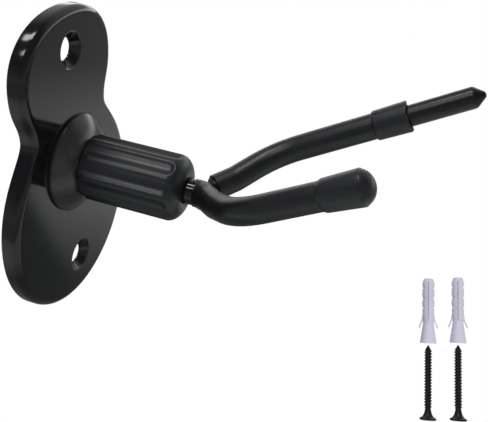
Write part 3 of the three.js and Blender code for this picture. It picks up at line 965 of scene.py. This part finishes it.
def left_cap():
    """A closed cap whose end is part of an ellipsoid that starts a little inside the rim."""
    line = ARM_LINES["left"]
    zero = corner_place(line)
    bore = TUBE_RADIUS + SEAT_GAP
    deep = LEFT["rod"] + 0.3
    radius = LEFT_CAP["rim"]
    side = softened([
        (bore, deep),
        (bore, LEFT["cap"], 0.15),
        (LEFT_CAP["lip"], LEFT["cap"] + 1.2, 0.5),
        (radius, LEFT["rim"], 0.12),
        (radius - 0.27, LEFT["rim"] + 0.2),
    ])
    ellipse = quarter((radius + 0.04, LEFT["rim"] - 1.5), (0, LEFT["dome"]), 28)
    dome = [p for p in ellipse[:-1] if p[1] > LEFT["rim"] + 0.25]
    profile = [(0, deep)] + side + dome + [(0, LEFT["dome"])]
    piece = turned("rubber_cap_left", [(r, zero + p) for r, p in profile], line)
    show(piece, "yoke", "cap_rubber", CAP_RUBBER, "end_cap_left")


def right_cap():
    line = ARM_LINES["right"]
    zero = corner_place(line)
    bore = TUBE_RADIUS + SEAT_GAP
    rim = RIGHT["rim"]
    widest = RIGHT_CAP["rim"]

    def ragged(angle, radius, place):
        if place - zero < rim - 0.8:
            return radius, place
        nick = 0.22 * math.sin(3 * angle + 0.8) + 0.14 * math.sin(7 * angle + 2.0)
        nick += 0.1 * math.sin(13 * angle)
        return radius, place + nick

    corners = [
        (bore, RIGHT["cap"] - 0.7),
        (RIGHT_CAP["lip"], RIGHT["cap"], 0.3),
        (widest - 0.1, rim - 1.5),
        (widest, rim - 0.35, 0.3),
        (widest - 0.25, rim, 0.15),
        (bore, rim, 0.15),
        (bore, rim - 1.5),
    ]
    outline = [(r, zero + p) for r, p in rounded(corners)]
    piece = turned("rubber_cap_right", outline, line, shape=ragged, crease=45)
    show(piece, "yoke", "cap_rubber", CAP_RUBBER, "end_cap_right")


# ---- Screws and wall plugs -----------------------------------------------------------------------

def screw(number):
    root = THREAD_ROOT
    first, last = THREAD_START, SCREW_LENGTH - 2.6
    rim = SCREW_HEAD_RADIUS
    head = rounded([
        (0, 0),
        (rim - 0.35, 0),
        (rim, 0.3, 0.3),
        (rim - 0.05, 0.85, 0.3),
        (2.9, 1.7, 1.5),
        (2.0, 3.4, 1.8),
        (1.55, first, 1.0),
        (root, first + 0.2),
    ], 6)[:-1]
    shank = dense([(root, first), (root, last)], THREAD_PITCH / 12)
    point = [(root * 0.85, last + 0.5), (root * 0.5, last + 1.5)]
    point += [(0.08, SCREW_LENGTH - 0.05), (0, SCREW_LENGTH)]
    shape = thread(root, THREAD_RADIUS, THREAD_PITCH, first, last + 0.8)
    line = fixing_line(number, 0)
    piece = turned(f"wall_screw_{number}", head + shank + point, line, 48, shape, 55)
    carve(piece, cross_recess(number))
    show(piece, f"loose_screw_{number}", "screw_black", SCREW_BLACK, f"screw_{number}")


def fixing_block(number, low, high, foot_height=0.0):
    """A box in a fixing's own axes: along the row, across it, and up from foot_height."""
    foot = fixing_foot(number, foot_height)
    points = []
    for z in (low[2], high[2]):
        for x, y in ((low[0], low[1]), (high[0], low[1]), (high[0], high[1]), (low[0], high[1])):
            points.append(foot + FIXING_ROW * x + FIXING_ACROSS * y + FIXING_UP * z)
    faces = [[3, 2, 1, 0], [4, 5, 6, 7], [0, 1, 5, 4], [1, 2, 6, 5], [2, 3, 7, 6], [3, 0, 4, 7]]
    return add_object("block", points, faces)


def cross_recess(number):
    """The tools that cut a cross-shaped driver recess into a screw's head."""
    long, half, deep = 2.3, 0.42, 2.2
    return [
        fixing_block(number, (-long, -half, -1), (long, half, deep)),
        fixing_block(number, (-half, -long, -1), (half, long, deep)),
    ]


def carve(piece, tools):
    """Cuts tools out of a piece, and removes them."""
    bpy.context.view_layer.objects.active = piece
    for tool in tools:
        cut = piece.modifiers.new("cut", "BOOLEAN")
        cut.operation = "DIFFERENCE"
        cut.solver = "EXACT"
        cut.object = tool
        with bpy.context.temp_override(object=piece, active_object=piece):
            bpy.ops.object.modifier_apply(modifier=cut.name)
        bpy.data.objects.remove(tool)
    tidy_mesh(piece.data, 38)


def plug_profile():
    """Outside of a wall plug from its mouth up: a flare, three grooves and a blunt nose."""
    corners = [(PLUG_MOUTH, 0, 0.15), (PLUG_THROAT, 11.7, 0.8), (2.95, 13.4, 0.8), (3.12, 17.2, 0.8)]
    for groove in PLUG_GROOVES:
        corners += [(PLUG_SWELL, groove - 0.75, 0.4), (PLUG_THROAT, groove, 0.2)]
        corners += [(PLUG_SWELL, groove + 0.65, 0.4), (PLUG_BODY + 0.05, groove + 2.0, 1.2)]
    corners += [(3.0, PLUG_LENGTH - 1.6, 1.0), (2.3, PLUG_LENGTH, 0.5), (1.0, PLUG_LENGTH)]
    return softened(corners, 6)


def notched(angle, radius, place):
    """Fills the plug's grooves on its front and back, so that only its two sides are notched."""
    first, last = PLUG_GROOVES[0] - 0.75, PLUG_GROOVES[-1] + 0.65
    if radius < PLUG_THROAT - 0.1 or not first <= place <= last:
        return radius, place
    front = min(max((0.85 - abs(math.cos(angle))) / 0.25, 0), 1)
    return radius + (max(radius, PLUG_SWELL) - radius) * front, place


def wing(number, foot_height, side):
    """A thin sprung wing that leans out and down from the plug's side, as a bent strip."""
    outer = [(2.9, 16.8), (3.25, 15.2), (3.5, 13.6), (3.85, 12.2), (4.3, 10.8), (4.8, 9.6), (5.2, 8.7)]
    inner = [(5.1, 8.2), (4.6, 8.15), (4.0, 9.5), (3.5, 10.6), (3.1, 11.4), (2.7, 12.1), (2.3, 12.6)]
    outline = outer + inner
    foot = fixing_foot(number, foot_height)
    half = 0.8
    vertices = []
    for depth in (-half, half):
        for x, z in outline:
            vertices.append(foot + FIXING_ROW * side * x + FIXING_ACROSS * depth + FIXING_UP * z)
    count = len(outline)
    faces = [list(range(count)), list(range(2 * count - 1, count - 1, -1))]
    for i in range(count):
        j = (i + 1) % count
        faces.append([i, j, count + j, count + i])
    word = "a" if side < 0 else "b"
    piece = add_object(f"plug_wing_{number}{word}", vertices, faces)
    bevel = piece.modifiers.new("soft_edges", "BEVEL")
    bevel.width = 0.12 * MM
    bevel.segments = 3
    show(piece, "wall_bracket", "plug_plastic", PLUG_PLASTIC)


def slit(number, foot_height, side):
    """The tool for a slit down the front or back of a plug, which stops just short of the bore."""
    half = PLUG_SLIT["width"] / 2
    low, high = sorted([side * (PLUG_BODY - PLUG_SLIT["depth"]), side * (PLUG_BODY + 3)])
    bottom, top = (-half, low, PLUG_SLIT["bottom"]), (half, high, PLUG_SLIT["top"])
    return fixing_block(number, bottom, top, foot_height)


def plug(number):
    foot_height = SCREW_LENGTH + PLUG_GAP
    line = fixing_line(number, foot_height)
    inside = [(PLUG_BORE, PLUG_LENGTH - 3), (PLUG_BORE, 3.5), (3.55, 0.05)]
    outline = [(0, PLUG_LENGTH - 1.5)] + inside + plug_profile() + [(0, PLUG_LENGTH)]
    piece = turned(f"plug_body_{number}", outline, line, 72, notched)
    carve(piece, [slit(number, foot_height, side) for side in (-1, 1)])
    show(piece, "wall_bracket", "plug_plastic", PLUG_PLASTIC, f"wall_plug_{number}")
    for side in (-1, 1):
        wing(number, foot_height, side)


# ---- Studio --------------------------------------------------------------------------------------

CAMERA_TARGET = Vector((-24.97, -83.77, 14.27)) * MM
CAMERA_DISTANCE = 219.33 * MM
CAMERA_AZIMUTH = math.radians(-75.74)
CAMERA_ELEVATION = math.radians(33.0)
CAMERA_ROLL = math.radians(6.70)
CAMERA_LENS = 48.78                    # on a 36 mm sensor
FLOOR_SHADE = (0.12, 0.135, 0.13, 1)
ROOM_LOW = (0.37, 0.38, 0.4, 1)
ROOM_HIGH = (0.115, 0.12, 0.14, 1)
RIGHT_LOW = (2.4, 2.4, 2.4, 1)
RIGHT_HIGH = (0.6, 0.62, 0.62, 1)


def camera():
    level = math.cos(CAMERA_ELEVATION)
    back = Vector((
        math.sin(CAMERA_AZIMUTH) * level,
        -math.cos(CAMERA_AZIMUTH) * level,
        math.sin(CAMERA_ELEVATION),
    ))
    right = Vector((0, 0, 1)).cross(back).normalized()
    up = back.cross(right)
    turned_right = right * math.cos(CAMERA_ROLL) + up * math.sin(CAMERA_ROLL)
    turned_up = up * math.cos(CAMERA_ROLL) - right * math.sin(CAMERA_ROLL)
    data = bpy.data.cameras.new("camera")
    data.sensor_width = 36
    data.lens = CAMERA_LENS
    data.clip_start = 0.01
    data.clip_end = 20
    eye = bpy.data.objects.new("camera", data)
    rotation = Matrix((turned_right, turned_up, back)).transposed().to_4x4()
    eye.matrix_world = Matrix.Translation(CAMERA_TARGET + back * CAMERA_DISTANCE) @ rotation
    bpy.context.scene.collection.objects.link(eye)
    bpy.context.scene.camera = eye


def strip_light(name, place, length, width, power):
    """A long lamp that lies parallel to the wall's normal and shines at the hanger."""
    data = bpy.data.lights.new(name, "AREA")
    data.shape = "RECTANGLE"
    data.size = width
    data.size_y = length
    data.energy = power
    lamp = bpy.data.objects.new(name, data)
    back = (Vector(place) - Vector((0, place[1], 0))).normalized()
    along = Vector((0, 1, 0))
    rotation = Matrix((along.cross(back), along, back)).transposed().to_4x4()
    lamp.matrix_world = Matrix.Translation(place) @ rotation
    bpy.context.scene.collection.objects.link(lamp)


def fill_light(place, size, power):
    """A soft square lamp that shines at the hanger and leaves no highlights."""
    data = bpy.data.lights.new("fill", "AREA")
    data.size = size
    data.energy = power
    lamp = bpy.data.objects.new("fill", data)
    lamp.location = place
    lamp.rotation_euler = Vector(place).to_track_quat("Z", "Y").to_euler()
    lamp.visible_glossy = False
    lamp.visible_camera = False
    bpy.context.scene.collection.objects.link(lamp)


def floor():
    """A floor that is white to the camera and, in reflections, a pool of light by the hanger.

    The floor and the room are found by reflected rays alone, which keeps the highlights clean.
    """
    foot = cad_box[0][2]
    mesh = bpy.data.meshes.new("floor")
    half = 6.0
    corners = [(-half, -half, foot), (half, -half, foot), (half, half, foot), (-half, half, foot)]
    mesh.from_pydata(corners, [], [(0, 1, 2, 3)])
    piece = bpy.data.objects.new("floor", mesh)
    bpy.context.scene.collection.objects.link(piece)
    n = Nodes("floor")

    def vector_math(operation, vector):
        node = n.add("ShaderNodeVectorMath", {0: n.place, 1: vector}, operation=operation)
        return node.outputs["Value"]

    shade_middle = (0.1, -0.11, foot)
    away_from_camera = (0.72, 0.69, 0)
    away = vector_math("DISTANCE", (0, 0, foot))
    aside = vector_math("DOT_PRODUCT", away_from_camera)
    rise = n.remap(away, 0.112, 0.2, 0.17, 0.68)
    fall = n.remap(away, 0.36, 0.49, 1.0, 0.45)
    pool = n.add("ShaderNodeMath", {0: rise, 1: fall}, operation="MULTIPLY").outputs["Value"]
    beside = n.remap(aside, 0.012, 0.022, 0.0, 1.0)
    beyond = n.remap(vector_math("DISTANCE", shade_middle), 0.07, 0.12, 0.0, 1.0)
    lit = n.add("ShaderNodeMath", {0: beside, 1: beyond}, operation="MAXIMUM").outputs["Value"]
    reflected = n.mix(lit, FLOOR_SHADE, n.mix(pool, (0, 0, 0, 1), (0.99, 1.03, 1.0, 1)))
    seen = n.add("ShaderNodeLightPath").outputs["Is Camera Ray"]
    n.set(
        Base_Color=(0, 0, 0, 1),
        Roughness=1.0,
        Specular_IOR_Level=0.0,
        Emission_Color=n.mix(seen, reflected, (1, 1, 1, 1)),
        Emission_Strength=1.0,
    )
    n.material.cycles.emission_sampling = "NONE"
    mesh.materials.append(n.material)


def surroundings():
    """White behind all the camera sees; in reflections a cool room, lighter low and to the right."""
    world = bpy.data.worlds.new("studio")
    bpy.context.scene.world = world
    world.use_nodes = True
    world.cycles.sampling_method = "NONE"
    tree = world.node_tree
    sky = tree.nodes["Background"]
    seen = tree.nodes.new("ShaderNodeLightPath").outputs["Is Camera Ray"]
    direction = tree.nodes.new("ShaderNodeSeparateXYZ")
    tree.links.new(tree.nodes.new("ShaderNodeTexCoord").outputs["Generated"], direction.inputs["Vector"])

    def ramp(axis, low, high):
        node = tree.nodes.new("ShaderNodeMapRange")
        node.inputs["From Min"].default_value = low
        node.inputs["From Max"].default_value = high
        tree.links.new(direction.outputs[axis], node.inputs["Value"])
        return node.outputs["Result"]

    def mixed(factor, first, second):
        mix = tree.nodes.new("ShaderNodeMix")
        mix.data_type = "RGBA"
        tree.links.new(factor, mix.inputs["Factor"])
        for socket, value in ((mix.inputs[6], first), (mix.inputs[7], second)):
            if isinstance(value, bpy.types.NodeSocket):
                tree.links.new(value, socket)
            else:
                socket.default_value = value
        return mix.outputs[2]

    room = mixed(ramp("Z", 0.1, 0.45), ROOM_LOW, ROOM_HIGH)
    right = mixed(ramp("Z", 0.07, 0.22), RIGHT_LOW, RIGHT_HIGH)
    lit_room = mixed(ramp("X", 0.4, 0.7), room, right)
    tree.links.new(mixed(seen, lit_room, (1, 1, 1, 1)), sky.inputs["Color"])


def studio():
    surroundings()
    strip_light("strip_right", place=(0.03, 0.3, 1.0), length=0.7, width=0.2, power=4.2)
    strip_light("strip_left", place=(-0.5, 0.3, 0.9), length=0.5, width=0.16, power=2)
    fill_light(place=(-0.5, -0.6, 0.3), size=0.5, power=3)
    bpy.context.scene.view_settings.view_transform = "Standard"


# ---- The scene -----------------------------------------------------------------------------------

wall_plate()
boss()
grip()
neck_ring()
inner_rings()
barrel()
front_bush()
spring_washer()
spindle()
lock_nut()
hub()
left_rod()
right_rod()
tubes()
left_cap()
right_cap()
for number in (1, 2):
    screw(number)
    plug(number)
floor()
studio()
camera()


def corners(box):
    return [[float(v) for v in corner] for corner in box]
